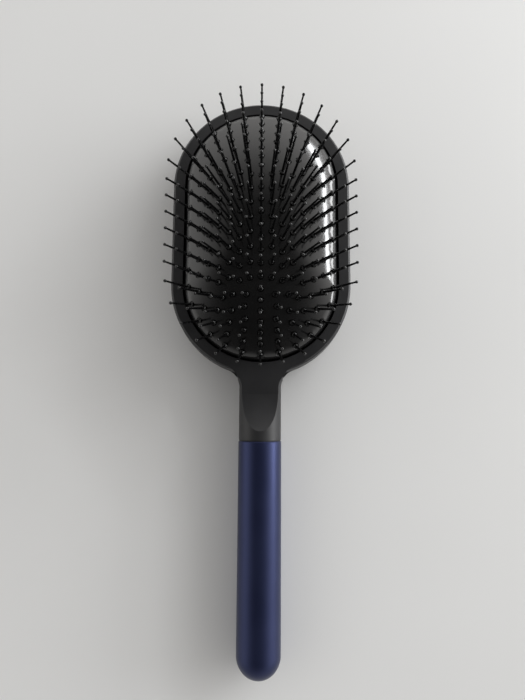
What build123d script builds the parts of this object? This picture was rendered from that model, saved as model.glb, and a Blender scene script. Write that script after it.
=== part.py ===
from build123d import *
import os
from math import cos, pi, radians, sin, sqrt

# Paddle hair brush lying on its back, pins up. Millimetres, +Z up.
# The length runs along Y: the head is at +Y and the handle's round end at -Y.
# The origin is the centre of the overall length, on the plane that the flat back rests on.

# Driving dimensions
TOTAL_LENGTH = 251.0
HEAD_RADIUS = 40.3          # radius of the round ends, half the head's width at its widest
SPINE_HALF = 22.9           # half of the head's straight stretch
HEAD_THICKNESS = 14.0
WIDEST_HEIGHT = 5.5         # the sides lean in from this height up to the front face
SIDE_INSET = 0.5            # and come in by this much
BACK_EDGE_RADIUS = 5.0
FRONT_EDGE_CHAMFER = 0.9
BACK_WALL = 3.0

RECESS_RADIUS = 34.7        # the recess, as an offset from the head's spine
NECK_RADIUS = 9.15
HANDLE_RADIUS = 9.3
AXIS_HEIGHT = 9.3           # height of the axis of the neck and handle
NECK_FLARE_RADIUS = 6.8     # the rounded corner between neck and head
NECK_FLARE_ANGLE = 68.0
NECK_FLARE_SETBACK = 5.2    # the flare starts this far short of the head's round end
NECK_ROOT_HALF_WIDTH = 9.75
NECK_ROOT_REACH = 9.0       # the slab under the neck's root starts this far short of the head
HANDLE_LENGTH = 96.4
TONGUE_RISE_RADIUS = 43.0   # the flat front runs up out of the neck on this radius
TONGUE_TO_NECK_END = 3.9
GASKET_THICKNESS = 0.45
GASKET_RADIUS = 8.9
GASKET_FIT = 0.05           # the gasket's play on the spigot

SPIGOT_RADIUS = 8.25
SPIGOT_LENGTH = 52.0
SPIGOT_CHAMFER = 0.8
SPIGOT_BORE_RADIUS = 5.6
SPIGOT_BORE_DEPTH = 40.0
SLEEVE_WALL = 1.0
SLEEVE_CHAMFER = 0.3

PAD_RADIUS = 33.8           # the rubber leaves a gap of 0.9 to the recess wall
DOME_EDGE_HEIGHT = 16.0     # where the dome would meet the pad's side if its edge weren't rolled
PAD_CROWN = 11.0            # rise of the dome above that edge
PAD_ROLL_RADIUS = 2.4       # the rolled edge beside the groove
PAD_ROLL_TOP = 17.1         # height at which the roll would level out
PAD_ROLL_WIDTH = 1.2        # the roll runs smoothly into the dome within this distance of the side
DOME_MARGIN = 2.0           # the dome's surface is made this much larger than the pad, then trimmed
DOME_POINTS_ACROSS = 17     # points that the surface passes through
DOME_POINTS_ALONG = 25
MEMBRANE = 1.8
SKIRT_WALL = 1.1
BEAD_REACH = 2.9
BEAD_BOTTOM = 6.6
BEAD_TOP = 8.0

CARRIER_FOOT_RADIUS = 34.6
CARRIER_FOOT_TOP = 4.4
CARRIER_WEB_RADIUS = 30.6
CARRIER_INNER_RADIUS = 28.4
CARRIER_FLANGE_RADIUS = 32.6
CARRIER_FLANGE_BOTTOM = 8.1
CARRIER_FLANGE_TOP = 9.4

PIN_LENGTH = 16.4           # from the rubber's surface to the tip
PIN_BALL_RADIUS = 0.66
PIN_TOP_RADIUS = 0.38
PIN_ROOT_RADIUS = 0.56
PIN_SHOULDER_RADIUS = 1.02
PIN_SHOULDER_HEIGHT = 1.1
PIN_SHOULDER_STRAIGHT = 0.5 # the shoulder is a short cylinder up to here, and a cone above
PIN_NECK_RADIUS = 0.75
PIN_HOLE_RADIUS = 0.82
PIN_FOOT_RADIUS = 1.25
PIN_FOOT_THICKNESS = 0.7
PIN_AXIAL_PLAY = 0.12       # under the shoulder and above the foot

PIN_SPINE_HALF = 23.1       # the pins stand on parallel ovals around this spine
RING_STEP = 4.505           # distance between neighbouring ovals
RING_INTERVALS = [9, 12, 13, 16, 17, 18, 19]   # pin spacings along one side, innermost oval first
ROUND_END_SPACING = 1.105   # pins on the round ends stand this much wider apart than on the straights
CENTRE_ROW_PINS = 9
CENTRE_ROW_PITCH = 5.6

# A pin's share of the pad's travel is its height on the dome. Each zone ends at this share.
ZONE_FLOORS = {
    "crown_pins": 0.93,
    "inner_zone_pins": 0.82,
    "mid_inner_zone_pins": 0.69,
    "middle_zone_pins": 0.55,
    "mid_outer_zone_pins": 0.40,
    "outer_zone_pins": 0.22,
    "edge_zone_pins": 0.0,
}

# Derived places
HEAD_CENTRE_Y = TOTAL_LENGTH / 2 - HEAD_RADIUS - SPINE_HALF
HEAD_END_Y = HEAD_CENTRE_Y - SPINE_HALF - HEAD_RADIUS
FLARE_START_Y = HEAD_END_Y - NECK_FLARE_SETBACK
HANDLE_END_Y = -TOTAL_LENGTH / 2
SLEEVE_MOUTH_Y = HANDLE_END_Y + HANDLE_LENGTH
NECK_END_Y = SLEEVE_MOUTH_Y + GASKET_THICKNESS
TONGUE_TIP_Y = NECK_END_Y + TONGUE_TO_NECK_END
CLEAR_ABOVE = 45.0          # higher than any part of the body
JOIN_OVERLAP = 1.0          # shapes that are joined or cut run into each other by this much


def oval_face(radius):
    """The oval that lies at one distance from the head's spine."""
    return Pos(0, HEAD_CENTRE_Y) * SlotOverall(2 * (SPINE_HALF + radius), 2 * radius, rotation=90)


def oval_prism(radius, z_low, z_high):
    return Pos(0, 0, z_low) * extrude(oval_face(radius), z_high - z_low)


def oval_ring(outer_radius, inner_radius, z_low, z_high):
    return oval_prism(outer_radius, z_low, z_high) - oval_prism(inner_radius, z_low, z_high)


def axis_plane(y):
    """A plane across the handle's axis, whose normal points at the handle's end."""
    return Plane(origin=(0, y, AXIS_HEIGHT), x_dir=(1, 0, 0), z_dir=(0, -1, 0))


def round_bar(radius, y_start, length):
    return extrude(axis_plane(y_start) * Circle(radius), length)


def arc_rise(radius, run):
    """How far an arc has left its tangent after this run along it."""
    return radius - sqrt(radius ** 2 - run ** 2)


# The dome of the pad

def dome_share(x, y):
    """Height on the dome as a share of the crown: 1 at the middle, 0 on the pad's edge oval."""
    across = abs(x)
    along = abs(y - HEAD_CENTRE_Y)
    gauge = across / PAD_RADIUS
    if along > SPINE_HALF * gauge:
        spread = PAD_RADIUS ** 2 - SPINE_HALF ** 2
        root = sqrt((along * SPINE_HALF) ** 2 + spread * (across ** 2 + along ** 2))
        gauge = (root - along * SPINE_HALF) / spread
    return 1 - gauge ** 2


def dome_height(x, y):
    return DOME_EDGE_HEIGHT + PAD_CROWN * dome_share(x, y)


def dome_normal(x, y):
    step = 0.05
    slope_x = (dome_height(x + step, y) - dome_height(x - step, y)) / (2 * step)
    slope_y = (dome_height(x, y + step) - dome_height(x, y - step)) / (2 * step)
    return Vector(-slope_x, -slope_y, 1).normalized()


def dome_surface():
    """The dome as one smooth face that runs a little past the pad's edge on all sides."""
    half_x = PAD_RADIUS + DOME_MARGIN
    half_y = SPINE_HALF + PAD_RADIUS + DOME_MARGIN
    rows = []
    for i in range(DOME_POINTS_ALONG):
        y = HEAD_CENTRE_Y - half_y + 2 * half_y * i / (DOME_POINTS_ALONG - 1)
        row = []
        for j in range(DOME_POINTS_ACROSS):
            x = -half_x + 2 * half_x * j / (DOME_POINTS_ACROSS - 1)
            row.append((x, y, dome_height(x, y)))
        rows.append(row)
    return Face.make_surface_from_array_of_points(rows, tol=0.05, min_deg=3, max_deg=5)


# The pins

def ring_point(radius, share):
    """A point on the pins' oval at this radius, this share of the way down its +X side."""
    end_length = radius * pi / 2 / ROUND_END_SPACING
    side_length = 2 * (end_length + PIN_SPINE_HALF)
    walked = share * side_length
    if walked < end_length:
        angle = walked / end_length * pi / 2
        return radius * sin(angle), PIN_SPINE_HALF + radius * cos(angle)
    if walked < end_length + 2 * PIN_SPINE_HALF:
        return radius, PIN_SPINE_HALF + end_length - walked
    angle = (side_length - walked) / end_length * pi / 2
    return radius * sin(angle), -PIN_SPINE_HALF - radius * cos(angle)


def pin_places():
    """Where each pin stands, as x and y on the dome."""
    places = []
    for i in range(CENTRE_ROW_PINS):
        offset = (i - (CENTRE_ROW_PINS - 1) / 2) * CENTRE_ROW_PITCH
        places.append((0.0, HEAD_CENTRE_Y + offset))
    for ring, intervals in enumerate(RING_INTERVALS, start=1):
        for k in range(intervals + 1):
            x, y = ring_point(ring * RING_STEP, k / intervals)
            if 0 < k < intervals:
                places.append((x, HEAD_CENTRE_Y + y))
                places.append((-x, HEAD_CENTRE_Y + y))
            else:
                places.append((0.0, HEAD_CENTRE_Y + y))
    return places


def pin_location(x, y):
    """The frame of one pin: its origin on the dome, +Z along the pin."""
    return Location(Plane(origin=(x, y, dome_height(x, y)), z_dir=dome_normal(x, y)))


def pin():
    """One pin, turned about its axis, with the rubber's surface at zero height."""
    neck_bottom = -MEMBRANE - PIN_AXIAL_PLAY
    foot_bottom = neck_bottom - PIN_FOOT_THICKNESS
    shoulder_top = PIN_AXIAL_PLAY + PIN_SHOULDER_HEIGHT
    ball_centre = PIN_LENGTH - PIN_BALL_RADIUS
    ball_start = ball_centre - sqrt(PIN_BALL_RADIUS ** 2 - PIN_TOP_RADIUS ** 2)
    outline = Polyline(
        (0, foot_bottom),
        (PIN_FOOT_RADIUS, foot_bottom),
        (PIN_FOOT_RADIUS, neck_bottom),
        (PIN_NECK_RADIUS, neck_bottom),
        (PIN_NECK_RADIUS, PIN_AXIAL_PLAY),
        (PIN_SHOULDER_RADIUS, PIN_AXIAL_PLAY),
        (PIN_SHOULDER_RADIUS, PIN_AXIAL_PLAY + PIN_SHOULDER_STRAIGHT),
        (PIN_ROOT_RADIUS, shoulder_top),
        (PIN_TOP_RADIUS, ball_start),
    )
    ball = ThreePointArc(
        (PIN_TOP_RADIUS, ball_start),
        (PIN_BALL_RADIUS, ball_centre),
        (0, PIN_LENGTH),
    )
    axis_line = Line((0, PIN_LENGTH), (0, foot_bottom))
    profile = Plane.XZ * make_face([outline, ball, axis_line])
    return revolve(profile, Axis.Z)


def pin_zones(places):
    """Sort the pins into zones by their share of the pad's travel."""
    zones = {name: [] for name in ZONE_FLOORS}
    for x, y in places:
        share = dome_share(x, y)
        for name, floor in ZONE_FLOORS.items():
            if share >= floor:
                zones[name].append((x, y))
                break
    return zones


def pin_group(places):
    one_pin = pin()
    return Compound(children=[pin_location(x, y) * one_pin for x, y in places])


# The rubber pad and what holds it

def rolled_prism():
    """The pad's outer envelope, whose top edge is rolled over."""
    envelope = oval_prism(PAD_RADIUS, BEAD_BOTTOM, PAD_ROLL_TOP)
    envelope = fillet(envelope.faces().sort_by(Axis.Z)[-1].edges(), PAD_ROLL_RADIUS)
    middle = oval_prism(PAD_RADIUS - PAD_ROLL_WIDTH, BEAD_BOTTOM, CLEAR_ABOVE)
    return envelope + middle


def cushion_pad(places):
    """The domed membrane with its skirt and bead, and one hole for each pin's neck."""
    surface = dome_surface()
    pad = Part() + Solid.extrude(surface, Vector(0, 0, -MEMBRANE))
    skirt_top = DOME_EDGE_HEIGHT - MEMBRANE / 2
    pad += oval_ring(PAD_RADIUS, PAD_RADIUS - SKIRT_WALL, BEAD_BOTTOM, skirt_top)
    pad = pad & rolled_prism()
    pad += oval_ring(PAD_RADIUS, PAD_RADIUS - BEAD_REACH, BEAD_BOTTOM, BEAD_TOP)
    drill = Pos(0, 0, -2 * MEMBRANE) * extrude(Circle(PIN_HOLE_RADIUS), 4 * MEMBRANE)
    drills = [pin_location(x, y) * drill for x, y in places]
    return pad - drills


def pad_carrier():
    """The oval ring that the bead is stretched over."""
    foot = oval_ring(CARRIER_FOOT_RADIUS, CARRIER_INNER_RADIUS, BACK_WALL, CARRIER_FOOT_TOP)
    web = oval_ring(CARRIER_WEB_RADIUS, CARRIER_INNER_RADIUS, BACK_WALL, CARRIER_FLANGE_TOP)
    flange = oval_ring(
        CARRIER_FLANGE_RADIUS, CARRIER_INNER_RADIUS, CARRIER_FLANGE_BOTTOM, CARRIER_FLANGE_TOP
    )
    return foot + web + flange


# The body

def neck_and_flare():
    """The neck turned about the handle's axis, flaring out to take in the whole head."""
    angle = radians(NECK_FLARE_ANGLE)
    flare_end_x = NECK_RADIUS + NECK_FLARE_RADIUS * (1 - cos(angle))
    flare_end_y = FLARE_START_Y + NECK_FLARE_RADIUS * sin(angle)
    cone_length = TOTAL_LENGTH / 2
    cone_x = flare_end_x + cone_length * sin(angle)
    cone_y = flare_end_y + cone_length * cos(angle)
    flare_middle = (
        NECK_RADIUS + NECK_FLARE_RADIUS * (1 - cos(angle / 2)),
        FLARE_START_Y + NECK_FLARE_RADIUS * sin(angle / 2),
    )
    edges = [
        Line((0, NECK_END_Y), (NECK_RADIUS, NECK_END_Y)),
        Line((NECK_RADIUS, NECK_END_Y), (NECK_RADIUS, FLARE_START_Y)),
        ThreePointArc((NECK_RADIUS, FLARE_START_Y), flare_middle, (flare_end_x, flare_end_y)),
        Line((flare_end_x, flare_end_y), (cone_x, cone_y)),
        Line((cone_x, cone_y), (cone_x, TOTAL_LENGTH)),
        Line((cone_x, TOTAL_LENGTH), (0, TOTAL_LENGTH)),
        Line((0, TOTAL_LENGTH), (0, NECK_END_Y)),
    ]
    profile = Pos(0, 0, AXIS_HEIGHT) * make_face(edges)
    return revolve(profile, Axis((0, 0, AXIS_HEIGHT), (0, 1, 0)))


def head_outline(radius):
    """The head's oval with the stub of the neck, whose corners are rounded into it."""
    stub_length = NECK_ROOT_REACH + HEAD_RADIUS
    stub_y = HEAD_END_Y - NECK_ROOT_REACH + stub_length / 2
    outline = oval_face(radius) + Pos(0, stub_y) * Rectangle(2 * NECK_ROOT_HALF_WIDTH, stub_length)
    corners = outline.vertices().sort_by(Axis.Y)[2:4]
    return fillet(corners, NECK_FLARE_RADIUS)


def head_plate():
    """The head's slab: a rounded back edge, sides that lean in a little, a chamfered front edge."""
    lower = extrude(head_outline(HEAD_RADIUS), WIDEST_HEIGHT)
    back_edges = lower.faces().sort_by(Axis.Z)[0].edges()
    rounded_edges = back_edges.sort_by(Axis.Y)[1:]
    lower = fillet(rounded_edges, BACK_EDGE_RADIUS)
    upper_height = HEAD_THICKNESS - WIDEST_HEIGHT
    front_face = Pos(0, 0, HEAD_THICKNESS) * oval_face(HEAD_RADIUS - SIDE_INSET)
    widest_face = Pos(0, 0, WIDEST_HEIGHT) * oval_face(HEAD_RADIUS)
    upper = loft([widest_face, front_face])
    upper = chamfer(upper.faces().sort_by(Axis.Z)[-1].edges(), FRONT_EDGE_CHAMFER)
    stub = Pos(0, 0, WIDEST_HEIGHT) * extrude(head_outline(HEAD_RADIUS - 2 * SIDE_INSET), upper_height)
    root_box = Pos(0, HEAD_END_Y, WIDEST_HEIGHT) * Box(
        4 * NECK_ROOT_HALF_WIDTH, 2 * NECK_ROOT_REACH, 2 * HEAD_THICKNESS
    )
    return lower + upper + (stub & root_box)


def tongue_cutter():
    """Everything in front of the flat face, which runs up out of the neck on a large radius."""
    rise = AXIS_HEIGHT + NECK_RADIUS - HEAD_THICKNESS
    run = sqrt(TONGUE_RISE_RADIUS ** 2 - (TONGUE_RISE_RADIUS - rise) ** 2)
    start_y = TONGUE_TIP_Y + run
    past_run = run + rise
    middle = (start_y - run / 2, HEAD_THICKNESS + arc_rise(TONGUE_RISE_RADIUS, run / 2))
    past_tip = (start_y - past_run, HEAD_THICKNESS + arc_rise(TONGUE_RISE_RADIUS, past_run))
    edges = [
        Line((TOTAL_LENGTH, HEAD_THICKNESS), (start_y, HEAD_THICKNESS)),
        ThreePointArc((start_y, HEAD_THICKNESS), middle, past_tip),
        Line(past_tip, (past_tip[0], CLEAR_ABOVE)),
        Line((past_tip[0], CLEAR_ABOVE), (TOTAL_LENGTH, CLEAR_ABOVE)),
        Line((TOTAL_LENGTH, CLEAR_ABOVE), (TOTAL_LENGTH, HEAD_THICKNESS)),
    ]
    return extrude(Plane.YZ * make_face(edges), HEAD_RADIUS, both=True)


def brush_body():
    """The head with its recess, the neck, and the spigot that the handle's sleeve goes on."""
    room_start_y = HEAD_END_Y - NECK_ROOT_REACH + JOIN_OVERLAP
    room_length = room_start_y - NECK_END_Y + JOIN_OVERLAP
    neck_room = Pos(0, room_start_y - room_length / 2, AXIS_HEIGHT) * Box(
        4 * NECK_RADIUS, room_length, 4 * NECK_RADIUS
    )
    body = neck_and_flare() & (head_plate() + neck_room)
    body -= tongue_cutter()
    body -= oval_prism(RECESS_RADIUS, BACK_WALL, CLEAR_ABOVE)
    spigot = round_bar(SPIGOT_RADIUS, NECK_END_Y, SPIGOT_LENGTH)
    body += chamfer(spigot.faces().sort_by(Axis.Y)[0].edges(), SPIGOT_CHAMFER)
    bore_start_y = NECK_END_Y - SPIGOT_LENGTH + SPIGOT_BORE_DEPTH
    body -= round_bar(SPIGOT_BORE_RADIUS, bore_start_y, SPIGOT_BORE_DEPTH + JOIN_OVERLAP)
    return body


# The handle

def neck_gasket():
    ring = Circle(GASKET_RADIUS) - Circle(SPIGOT_RADIUS + GASKET_FIT)
    return extrude(axis_plane(NECK_END_Y) * ring, GASKET_THICKNESS)


def sleeve_profile(radius, y_mouth, y_end):
    """Half of a round-ended bar, as a face beside the handle's axis."""
    corner_y = y_end + radius
    diagonal = radius * sqrt(0.5)
    edges = [
        Line((0, y_mouth), (radius, y_mouth)),
        Line((radius, y_mouth), (radius, corner_y)),
        ThreePointArc((radius, corner_y), (diagonal, corner_y - diagonal), (0, y_end)),
        Line((0, y_end), (0, y_mouth)),
    ]
    return Pos(0, 0, AXIS_HEIGHT) * make_face(edges)


def handle_sleeve():
    """A thin tube with a closed round end, pushed on the spigot."""
    handle_axis = Axis((0, 0, AXIS_HEIGHT), (0, 1, 0))
    outside = revolve(sleeve_profile(HANDLE_RADIUS, SLEEVE_MOUTH_Y, HANDLE_END_Y), handle_axis)
    outside = chamfer(outside.faces().sort_by(Axis.Y)[-1].edges(), SLEEVE_CHAMFER)
    inner_end_y = HANDLE_END_Y + SLEEVE_WALL
    inside = revolve(sleeve_profile(HANDLE_RADIUS - SLEEVE_WALL, SLEEVE_MOUTH_Y, inner_end_y), handle_axis)
    return outside - inside


def main():
    os.makedirs("parts", exist_ok=True)
    places = pin_places()
    nodes = {
        "brush_body": brush_body(),
        "pad_carrier": pad_carrier(),
        "cushion_pad": cushion_pad(places),
        "neck_gasket": neck_gasket(),
        "handle_sleeve": handle_sleeve(),
    }
    for name, zone_places in pin_zones(places).items():
        nodes[name] = pin_group(zone_places)
        shares = [dome_share(x, y) for x, y in zone_places]
        print(name, len(zone_places), "pins, mean share", round(sum(shares) / len(shares), 3))
    for name, shape in nodes.items():
        export_step(shape, f"parts/{name}.step")


main()
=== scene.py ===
from math import ceil, cos, hypot, pi, radians, sin, sqrt

import bmesh
import bpy
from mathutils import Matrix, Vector, geometry, noise


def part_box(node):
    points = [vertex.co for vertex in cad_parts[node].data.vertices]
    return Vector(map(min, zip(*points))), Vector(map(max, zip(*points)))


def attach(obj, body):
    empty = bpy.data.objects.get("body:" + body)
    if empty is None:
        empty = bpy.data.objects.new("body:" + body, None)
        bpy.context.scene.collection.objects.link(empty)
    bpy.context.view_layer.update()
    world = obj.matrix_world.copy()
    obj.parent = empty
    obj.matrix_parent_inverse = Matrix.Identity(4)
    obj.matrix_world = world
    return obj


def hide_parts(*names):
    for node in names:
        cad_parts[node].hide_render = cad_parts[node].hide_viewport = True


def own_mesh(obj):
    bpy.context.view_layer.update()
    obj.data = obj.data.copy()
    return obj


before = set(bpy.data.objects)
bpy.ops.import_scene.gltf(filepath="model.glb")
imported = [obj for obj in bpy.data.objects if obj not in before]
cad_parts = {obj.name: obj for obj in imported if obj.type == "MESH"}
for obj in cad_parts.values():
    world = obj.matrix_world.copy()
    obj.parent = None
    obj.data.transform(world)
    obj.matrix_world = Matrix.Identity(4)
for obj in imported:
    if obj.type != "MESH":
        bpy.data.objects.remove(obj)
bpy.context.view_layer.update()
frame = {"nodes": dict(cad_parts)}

# A paddle hair brush lies on its back on a pale table, and daylight comes in low from its right.
# The pad is a taut rubber membrane, made here as a mesh by formula: it has no folds and no seams.
# Metres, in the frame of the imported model: +Y is the head's end, +Z is the side with the pins.

MM = 0.001

pad_low, pad_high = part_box("cushion_pad")

# The rubber pad, worked out from its box in the frame
PAD_RADIUS = pad_high.x                           # half the pad's width
PAD_SPINE_HALF = (pad_high.y - pad_low.y) / 2 - PAD_RADIUS
PAD_CENTRE_Y = (pad_high.y + pad_low.y) / 2
PAD_CROWN = 11.0 * MM                             # rise of the dome above its edge
DOME_EDGE_Z = pad_high.z - PAD_CROWN
ROLL_WIDTH = 2.4 * MM                             # the edge rolls over beside the groove
ROLL_DROP = 3.0 * MM
ROLL_FOOT_Z = DOME_EDGE_Z - ROLL_DROP             # where the roll turns into the pad's side
MEMBRANE = 0.8 * MM
WAVE_HEIGHT = 0.03 * MM                           # the slow waves of the stretched rubber
WAVE_FADE = 10 * MM                               # they fade out over this distance at the edge
SKIRT_WALL = 1.1 * MM
SKIRT_CLEARANCE = 0.02 * MM                       # the skirt stays this far inside the dome's edge
SKIRT_TUCK = 1.0 * MM                             # and reaches this far up under the roll
SKIRT_STEPS = 120
BEAD_REACH = 2.9 * MM
BEAD_HEIGHT = 1.4 * MM
BEAD_ROUND = 0.3 * MM

# The pins' places: parallel ovals around a centre row
PIN_SPINE_HALF = 23.1 * MM
RING_STEP = 4.505 * MM
RING_INTERVALS = [9, 12, 13, 16, 17, 18, 19]      # spacings along one side, innermost oval first
ROUND_END_SPACING = 1.105
CENTRE_ROW_PINS = 9
CENTRE_ROW_PITCH = 5.6 * MM
HOLE_RADIUS = 0.98 * MM
HOLE_FLARE = 0.25                                 # the holes are this much wider on the inside
SEAT_RADIUS = 1.20 * MM                           # a shallow seat that each pin's shoulder sinks into
SEAT_EDGE_RADIUS = 1.44 * MM
SEAT_DEPTH = 0.53 * MM

# The dome's mesh
EDGE_INSETS = [0.0, 0.04, 0.12, 0.24, 0.4, 0.6, 0.85, 1.15]    # mm, rows of points along the rolled edge
EDGE_STEPS = 190
PIN_RINGS = [HOLE_RADIUS, SEAT_RADIUS, 1.32 * MM, SEAT_EDGE_RADIUS, 1.65 * MM]
PIN_RING_STEPS = 20
PIN_RING_MARGIN = 1.25 * MM                       # a pin's rings stay this far from the pad's edge
FIELD_SPACING = 1.15 * MM
FIELD_MARGIN = 1.8 * MM

TABLE_HALF = 0.6


# Node helpers

def new_material(name):
    material = bpy.data.materials.new(name)
    material.use_nodes = True
    return material, material.node_tree.nodes, material.node_tree.links


def object_noise(nodes, links, scale, detail=3.0, roughness=0.55):
    """A noise texture in the object's own coordinates, with features of about 1/scale metres."""
    place = nodes.new("ShaderNodeTexCoord")
    texture = nodes.new("ShaderNodeTexNoise")
    texture.inputs["Scale"].default_value = scale
    texture.inputs["Detail"].default_value = detail
    texture.inputs["Roughness"].default_value = roughness
    links.new(place.outputs["Object"], texture.inputs["Vector"])
    return texture.outputs["Fac"]


def remap(nodes, links, value, low, high):
    """Spread the middle of a noise value over low to high."""
    node = nodes.new("ShaderNodeMapRange")
    node.inputs["From Min"].default_value = 0.3
    node.inputs["From Max"].default_value = 0.7
    node.inputs["To Min"].default_value = low
    node.inputs["To Max"].default_value = high
    links.new(value, node.inputs["Value"])
    return node.outputs["Result"]


def fade(nodes, links, value, source, target):
    """A smooth passage from one pair of values to another, held at both ends."""
    node = nodes.new("ShaderNodeMapRange")
    node.interpolation_type = "SMOOTHSTEP"
    node.inputs["From Min"].default_value = source[0]
    node.inputs["From Max"].default_value = source[1]
    node.inputs["To Min"].default_value = target[0]
    node.inputs["To Max"].default_value = target[1]
    links.new(value, node.inputs["Value"])
    return node.outputs["Result"]


def multiply(nodes, links, first, second):
    node = nodes.new("ShaderNodeMath")
    node.operation = "MULTIPLY"
    links.new(first, node.inputs[0])
    links.new(second, node.inputs[1])
    return node.outputs["Value"]


def blend_colours(nodes, links, factor, first, second):
    node = nodes.new("ShaderNodeMix")
    node.data_type = "RGBA"
    node.inputs["A"].default_value = (*first, 1)
    node.inputs["B"].default_value = (*second, 1)
    links.new(factor, node.inputs["Factor"])
    return node.outputs["Result"]


def bumps(nodes, links, layers):
    """Stack bump layers, each a height value with its depth in metres."""
    normal = None
    for height, depth in layers:
        node = nodes.new("ShaderNodeBump")
        node.inputs["Distance"].default_value = depth
        links.new(height, node.inputs["Height"])
        if normal is not None:
            links.new(normal, node.inputs["Normal"])
        normal = node.outputs["Normal"]
    return normal


# Materials

def moulded_plastic():
    """Charcoal moulded plastic with a fine matt grain and a slightly uneven sheen."""
    material, nodes, links = new_material("moulded_plastic")
    shader = nodes["Principled BSDF"]
    shader.inputs["Specular IOR Level"].default_value = 0.4
    cloud = object_noise(nodes, links, 60)
    grain = object_noise(nodes, links, 5200, detail=2)
    tint = remap(nodes, links, cloud, 0, 1)
    links.new(
        blend_colours(nodes, links, tint, (0.0150, 0.0150, 0.0162), (0.0205, 0.0205, 0.0218)),
        shader.inputs["Base Color"],
    )
    links.new(remap(nodes, links, cloud, 0.40, 0.50), shader.inputs["Roughness"])
    links.new(bumps(nodes, links, [(grain, 0.02 * MM)]), shader.inputs["Normal"])
    return material


def carrier_plastic():
    """Dull black plastic of the ring under the pad."""
    material, nodes, links = new_material("carrier_plastic")
    shader = nodes["Principled BSDF"]
    grain = object_noise(nodes, links, 2600)
    tint = remap(nodes, links, grain, 0, 1)
    links.new(
        blend_colours(nodes, links, tint, (0.006, 0.006, 0.006), (0.010, 0.010, 0.010)),
        shader.inputs["Base Color"],
    )
    links.new(remap(nodes, links, grain, 0.5, 0.65), shader.inputs["Roughness"])
    return material


def pad_rubber():
    """Smooth, shiny dark rubber with a faint unevenness."""
    material, nodes, links = new_material("pad_rubber")
    shader = nodes["Principled BSDF"]
    shader.inputs["Specular IOR Level"].default_value = 0.6
    cloud = object_noise(nodes, links, 90)
    waves = object_noise(nodes, links, 160, detail=1)
    grain = object_noise(nodes, links, 3800, detail=2)
    tint = remap(nodes, links, cloud, 0, 1)
    links.new(
        blend_colours(nodes, links, tint, (0.0065, 0.0065, 0.007), (0.010, 0.0098, 0.0098)),
        shader.inputs["Base Color"],
    )
    links.new(remap(nodes, links, cloud, 0.08, 0.12), shader.inputs["Roughness"])
    layers = [(waves, 0.02 * MM), (grain, 0.001 * MM)]
    links.new(bumps(nodes, links, layers), shader.inputs["Normal"])
    return material


def gasket_rubber():
    """Dull black rubber of the thin ring between neck and handle."""
    material, nodes, links = new_material("gasket_rubber")
    shader = nodes["Principled BSDF"]
    grain = object_noise(nodes, links, 2400)
    tint = remap(nodes, links, grain, 0, 1)
    links.new(
        blend_colours(nodes, links, tint, (0.003, 0.003, 0.003), (0.006, 0.006, 0.006)),
        shader.inputs["Base Color"],
    )
    links.new(remap(nodes, links, grain, 0.6, 0.75), shader.inputs["Roughness"])
    return material


def sleeve_metal():
    """Navy anodised metal, bead blasted to an even satin."""
    material, nodes, links = new_material("sleeve_metal")
    shader = nodes["Principled BSDF"]
    shader.inputs["Metallic"].default_value = 0.75
    cloud = object_noise(nodes, links, 45)
    grain = object_noise(nodes, links, 6400, detail=2)
    tint = remap(nodes, links, cloud, 0, 1)
    links.new(
        blend_colours(nodes, links, tint, (0.024, 0.031, 0.084), (0.029, 0.037, 0.095)),
        shader.inputs["Base Color"],
    )
    links.new(remap(nodes, links, cloud, 0.34, 0.40), shader.inputs["Roughness"])
    links.new(bumps(nodes, links, [(grain, 0.012 * MM)]), shader.inputs["Normal"])
    return material


def pin_nylon():
    """Black nylon, smooth from the mould."""
    material, nodes, links = new_material("pin_nylon")
    shader = nodes["Principled BSDF"]
    cloud = object_noise(nodes, links, 300)
    tint = remap(nodes, links, cloud, 0, 1)
    links.new(
        blend_colours(nodes, links, tint, (0.0022, 0.0022, 0.0026), (0.0038, 0.0038, 0.0042)),
        shader.inputs["Base Color"],
    )
    links.new(remap(nodes, links, cloud, 0.20, 0.30), shader.inputs["Roughness"])
    return material


def table_top():
    """Pale laminate with a soft sheen."""
    material, nodes, links = new_material("table_top")
    shader = nodes["Principled BSDF"]
    cloud = object_noise(nodes, links, 6, detail=2)
    tint = remap(nodes, links, cloud, 0, 1)
    links.new(
        blend_colours(nodes, links, tint, (0.79, 0.79, 0.785), (0.82, 0.82, 0.815)),
        shader.inputs["Base Color"],
    )
    links.new(remap(nodes, links, cloud, 0.50, 0.56), shader.inputs["Roughness"])
    return material


def paint(obj, material):
    obj.data.materials.clear()
    obj.data.materials.append(material)


# The cushion

def smooth_step(value):
    value = min(max(value, 0.0), 1.0)
    return value * value * (3 - 2 * value)


def dome_share(x, y):
    """Height on the dome as a share of its crown: 1 at the middle, 0 on the edge oval."""
    across = abs(x)
    along = abs(y - PAD_CENTRE_Y)
    gauge = across / PAD_RADIUS
    if along > PAD_SPINE_HALF * gauge:
        spread = PAD_RADIUS ** 2 - PAD_SPINE_HALF ** 2
        root = sqrt((along * PAD_SPINE_HALF) ** 2 + spread * (across ** 2 + along ** 2))
        gauge = (root - along * PAD_SPINE_HALF) / spread
    return 1 - gauge ** 2


def edge_distance(x, y):
    """How far a point is inside the pad's edge."""
    past_spine = max(abs(y - PAD_CENTRE_Y) - PAD_SPINE_HALF, 0.0)
    return PAD_RADIUS - hypot(x, past_spine)


def plain_height(x, y):
    return DOME_EDGE_Z + PAD_CROWN * dome_share(x, y)


def dome_normal(x, y):
    step = 0.05 * MM
    slope_x = (plain_height(x + step, y) - plain_height(x - step, y)) / (2 * step)
    slope_y = (plain_height(x, y + step) - plain_height(x, y - step)) / (2 * step)
    return Vector((-slope_x, -slope_y, 1)).normalized()


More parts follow.
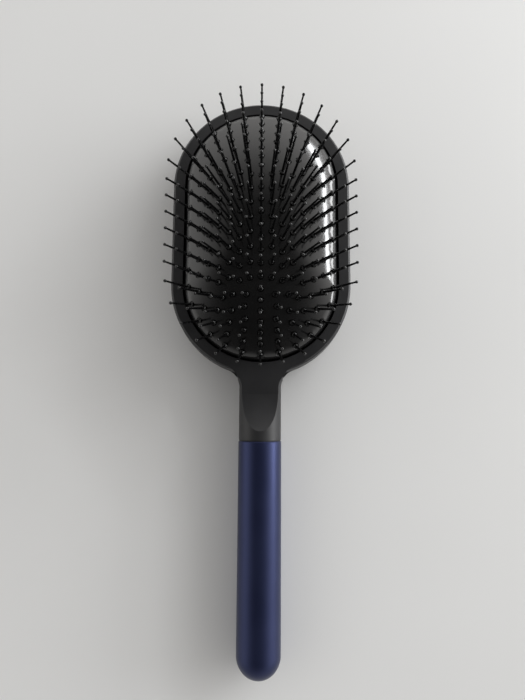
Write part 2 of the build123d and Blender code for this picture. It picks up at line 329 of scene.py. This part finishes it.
def pad_height(x, y):
    """Height of the pad's smooth outer face: the dome, rolled over at its edge."""
    inward = 1 - min(max(edge_distance(x, y) / ROLL_WIDTH, 0.0), 1.0)
    return plain_height(x, y) - ROLL_DROP * (1 - sqrt(1 - inward ** 2))


def side_point(radius, spine_half, widening, share):
    """A point this share of the way down the +X side of an oval, whose round ends count as shorter."""
    end_length = radius * pi / 2 / widening
    side_length = 2 * (end_length + spine_half)
    walked = share * side_length
    if walked < end_length:
        angle = walked / end_length * pi / 2
        return radius * sin(angle), spine_half + radius * cos(angle)
    if walked < end_length + 2 * spine_half:
        return radius, spine_half + end_length - walked
    angle = (side_length - walked) / end_length * pi / 2
    return radius * sin(angle), -spine_half - radius * cos(angle)


def pin_places():
    """Where each pin stands, as x and y."""
    places = []
    for i in range(CENTRE_ROW_PINS):
        places.append((0.0, PAD_CENTRE_Y + (i - (CENTRE_ROW_PINS - 1) / 2) * CENTRE_ROW_PITCH))
    for ring, intervals in enumerate(RING_INTERVALS, start=1):
        for k in range(intervals + 1):
            x, y = side_point(ring * RING_STEP, PIN_SPINE_HALF, ROUND_END_SPACING, k / intervals)
            if 0 < k < intervals:
                places.append((x, PAD_CENTRE_Y + y))
                places.append((-x, PAD_CENTRE_Y + y))
            else:
                places.append((0.0, PAD_CENTRE_Y + y))
    return places


def oval_loop(radius, count):
    """Points around the oval at this radius, evenly spaced."""
    right = [side_point(radius, PAD_SPINE_HALF, 1, k / count) for k in range(count)]
    left = [(-x, -y) for x, y in right]
    return [Vector((x, PAD_CENTRE_Y + y)) for x, y in right + left]


def cushion_outline(places):
    """The flat points of the dome and the loops that bound it: its edge, and a hole for each pin."""
    points = []
    loops = []
    for inset in EDGE_INSETS:
        loop = oval_loop(PAD_RADIUS - inset * MM, EDGE_STEPS)
        loops.append(list(range(len(points), len(points) + len(loop))))
        points += loop
    holes = []
    for x, y in places:
        normal = dome_normal(x, y)
        side = normal.orthogonal().normalized()
        other = normal.cross(side)
        for radius in PIN_RINGS:
            loop = []
            for k in range(PIN_RING_STEPS):
                angle = 2 * pi * k / PIN_RING_STEPS
                step = (side * cos(angle) + other * sin(angle)) * radius
                point = Vector((x + step.x, y + step.y))
                if radius == HOLE_RADIUS or edge_distance(*point) > PIN_RING_MARGIN:
                    loop.append(point)
            if radius == HOLE_RADIUS:
                holes.append(list(range(len(points), len(points) + len(loop))))
            points += loop
    return points, loops, holes


def field_points(places):
    """A staggered grid over the dome, clear of the pins and of the edge."""
    row_step = FIELD_SPACING * sqrt(3) / 2
    half_length = PAD_SPINE_HALF + PAD_RADIUS
    rows = ceil(half_length / row_step)
    columns = ceil(PAD_RADIUS / FIELD_SPACING) + 1
    points = []
    for i in range(-rows, rows + 1):
        shift = FIELD_SPACING / 2 if i % 2 else 0.0
        for j in range(-columns, columns + 1):
            x = j * FIELD_SPACING + shift
            y = PAD_CENTRE_Y + i * row_step
            if edge_distance(x, y) < FIELD_MARGIN:
                continue
            nearest_pin = min(hypot(x - pin_x, y - pin_y) for pin_x, pin_y in places)
            if nearest_pin < SEAT_EDGE_RADIUS + FIELD_SPACING / 2:
                continue
            points.append(Vector((x, y)))
    return points


def seat(x, y, places):
    """How far the rubber is recessed around the nearest pin."""
    pin_x, pin_y = min(places, key=lambda place: hypot(x - place[0], y - place[1]))
    rise = plain_height(x, y) - plain_height(pin_x, pin_y)
    offset = Vector((x - pin_x, y - pin_y, rise))
    reach = (offset.length - SEAT_RADIUS) / (SEAT_EDGE_RADIUS - SEAT_RADIUS)
    return SEAT_DEPTH * (1 - smooth_step(reach))


def unevenness(x, y):
    """The slow waves of a stretched membrane, fading to nothing at the edge."""
    inside = smooth_step(edge_distance(x, y) / WAVE_FADE)
    wave = noise.noise(Vector((x * 55, y * 40, 3.7)))
    return WAVE_HEIGHT * wave * inside


def flat_dome(places):
    """The dome seen flat: its points, its triangles, and for each point the pin hole it borders."""
    points, loops, holes = cushion_outline(places)
    points += field_points(places)
    constraints = []
    for loop in loops + holes:
        constraints += list(zip(loop, loop[1:] + loop[:1]))
    flat, _, faces, origins, _, _ = geometry.delaunay_2d_cdt(points, constraints, [], 0, 1e-7)
    hole_of = {}
    for number, hole in enumerate(holes):
        for index in hole:
            hole_of[index] = number
    vertex_hole = [next((hole_of[i] for i in source if i in hole_of), None) for source in origins]
    return flat, faces, vertex_hole


def finish_piece(mesh, name, crease_angle):
    """Make a piece from a closed shell, smooth except where it is creased."""
    bmesh.ops.recalc_face_normals(mesh, faces=mesh.faces)
    for face in mesh.faces:
        face.smooth = True
    for edge in mesh.edges:
        if len(edge.link_faces) == 2 and edge.calc_face_angle() > crease_angle:
            edge.smooth = False
    data = bpy.data.meshes.new(name)
    mesh.to_mesh(data)
    mesh.free()
    return add_piece(name, data)


def cushion_dome(places):
    """The domed membrane: an outer face with a rolled edge and a hole for each pin, and its inside."""
    flat, faces, vertex_hole = flat_dome(places)
    mesh = bmesh.new()
    top = []
    bottom = []
    for (x, y), hole in zip(flat, vertex_hole):
        normal = dome_normal(x, y)
        surface = Vector((x, y, pad_height(x, y)))
        lift = Vector((0, 0, unevenness(x, y)))
        top.append(mesh.verts.new(surface + lift - normal * seat(x, y, places)))
        under = surface - normal * MEMBRANE
        if hole is not None:
            pin_x, pin_y = places[hole]
            under += Vector((x - pin_x, y - pin_y, 0)) * HOLE_FLARE
        bottom.append(mesh.verts.new(under))
    open_edges = set()
    for face in faces:
        around = {vertex_hole[i] for i in face}
        if len(around) == 1 and None not in around:
            continue
        mesh.faces.new([top[i] for i in face])
        mesh.faces.new([bottom[i] for i in reversed(face)])
        for a, b in zip(face, face[1:] + face[:1]):
            if (b, a) in open_edges:
                open_edges.remove((b, a))
            else:
                open_edges.add((a, b))
    for a, b in open_edges:
        mesh.faces.new([top[b], top[a], bottom[a], bottom[b]])
    loose = [v for v in mesh.verts if not v.link_faces]
    bmesh.ops.delete(mesh, geom=loose, context="VERTS")
    return finish_piece(mesh, "cushion_dome", radians(50))


def oval_sweep(name, profile, count):
    """A closed ring whose section, as radius and height, goes round the oval."""
    mesh = bmesh.new()
    columns = []
    loops = [oval_loop(radius, count) for radius, _ in profile]
    heights = [z for _, z in profile]
    for k in range(2 * count):
        column = [mesh.verts.new((loop[k].x, loop[k].y, z)) for loop, z in zip(loops, heights)]
        columns.append(column)
    for k in range(2 * count):
        here = columns[k]
        there = columns[(k + 1) % (2 * count)]
        for i in range(len(profile)):
            j = (i + 1) % len(profile)
            mesh.faces.new([here[i], here[j], there[j], there[i]])
    return finish_piece(mesh, name, radians(40))


def cushion_skirt():
    """The pad's side, down to the bead that grips the carrier ring. Its top tucks under the roll."""
    outer = PAD_RADIUS - SKIRT_CLEARANCE
    inner = PAD_RADIUS - SKIRT_WALL
    bead = PAD_RADIUS - BEAD_REACH
    foot = pad_low.z
    profile = [
        (inner, ROLL_FOOT_Z + SKIRT_TUCK),
        (outer - 10 * SKIRT_CLEARANCE, ROLL_FOOT_Z + SKIRT_TUCK),
        (outer, ROLL_FOOT_Z),
        (outer, foot + BEAD_ROUND),
        (outer - BEAD_ROUND, foot),
        (bead + BEAD_ROUND, foot),
        (bead, foot + BEAD_ROUND),
        (bead, foot + BEAD_HEIGHT - BEAD_ROUND),
        (bead + BEAD_ROUND, foot + BEAD_HEIGHT),
        (inner, foot + BEAD_HEIGHT),
    ]
    return oval_sweep("cushion_skirt", profile, SKIRT_STEPS)


def add_piece(name, data):
    obj = bpy.data.objects.new(name, data)
    bpy.context.scene.collection.objects.link(obj)
    return obj


def make_cushion(rubber):
    dome = cushion_dome(pin_places())
    paint(dome, rubber)
    skirt = cushion_skirt()
    paint(skirt, rubber)
    for piece in (dome, skirt):
        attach(piece, "brush")
    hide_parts("cushion_pad")
    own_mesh(dome)


# The studio

def make_table(material):
    """A flat table top under the brush."""
    half = TABLE_HALF
    table = bpy.data.meshes.new("table")
    corners = [(-half, -half, 0), (half, -half, 0), (half, half, 0), (-half, half, 0)]
    table.from_pydata(corners, [], [(0, 1, 2, 3)])
    table.materials.append(material)
    obj = add_piece("table", table)


def add_window(name, azimuth, elevation, distance, width, height, power, colour):
    """A soft light panel that faces the brush from this direction."""
    a = radians(azimuth)
    e = radians(elevation)
    target = Vector((0, PAD_CENTRE_Y, 0))
    direction = Vector((cos(a) * cos(e), sin(a) * cos(e), sin(e)))
    light = bpy.data.lights.new(name, "AREA")
    light.shape = "RECTANGLE"
    light.size = width
    light.size_y = height
    light.energy = power
    light.color = colour
    obj = bpy.data.objects.new(name, light)
    obj.location = target + direction * distance
    obj.rotation_euler = (-direction).to_track_quat("-Z", "Y").to_euler()
    bpy.context.scene.collection.objects.link(obj)


def make_room():
    """The room: dark overhead, paler towards the walls and the window, dim at the handle's end."""
    world = bpy.data.worlds.new("room")
    world.use_nodes = True
    nodes = world.node_tree.nodes
    links = world.node_tree.links
    background = nodes["Background"]
    place = nodes.new("ShaderNodeTexCoord")
    split = nodes.new("ShaderNodeSeparateXYZ")
    links.new(place.outputs["Generated"], split.inputs["Vector"])
    height = fade(nodes, links, split.outputs["Z"], (0.30, 0.92), (1.66, 0.08))
    side = fade(nodes, links, split.outputs["X"], (-0.7, 0.7), (0.80, 1.12))
    near = fade(nodes, links, split.outputs["Y"], (-0.85, 0.1), (0.40, 1.08))
    strength = multiply(nodes, links, multiply(nodes, links, height, side), near)
    links.new(strength, background.inputs["Strength"])
    background.inputs["Color"].default_value = (1.0, 0.985, 0.965, 1)
    bpy.context.scene.world = world


def make_lights():
    """Daylight from the right: a low wide window, and a bright narrow pane above it."""
    add_window("window", 18, 11.5, 1.6, 1.5, 0.40, 20, (0.98, 0.99, 1.0))
    add_window("upper_pane", 38, 24.5, 1.6, 1.35, 0.06, 9, (0.97, 0.99, 1.0))
    bpy.context.scene.view_settings.view_transform = "Standard"


def make_camera():
    """Held over the neck, tipped a little towards the far end of the head."""
    data = bpy.data.cameras.new("camera")
    data.sensor_fit = "HORIZONTAL"
    data.sensor_width = 36
    data.lens = 34.63
    data.clip_start = 0.01
    camera = bpy.data.objects.new("camera", data)
    camera.location = (1.09 * MM, -17.5 * MM, 232.1 * MM)
    camera.rotation_euler = (radians(7.2), 0, 0.00629)
    bpy.context.scene.collection.objects.link(camera)
    bpy.context.scene.camera = camera


def make_scene():
    nodes = frame["nodes"]
    paint(nodes["brush_body"], moulded_plastic())
    paint(nodes["pad_carrier"], carrier_plastic())
    paint(nodes["neck_gasket"], gasket_rubber())
    paint(nodes["handle_sleeve"], sleeve_metal())
    nylon = pin_nylon()
    for name, node in nodes.items():
        if name.endswith("_pins"):
            paint(node, nylon)
    make_cushion(pad_rubber())
    make_table(table_top())
    make_room()
    make_lights()
    make_camera()


make_scene()
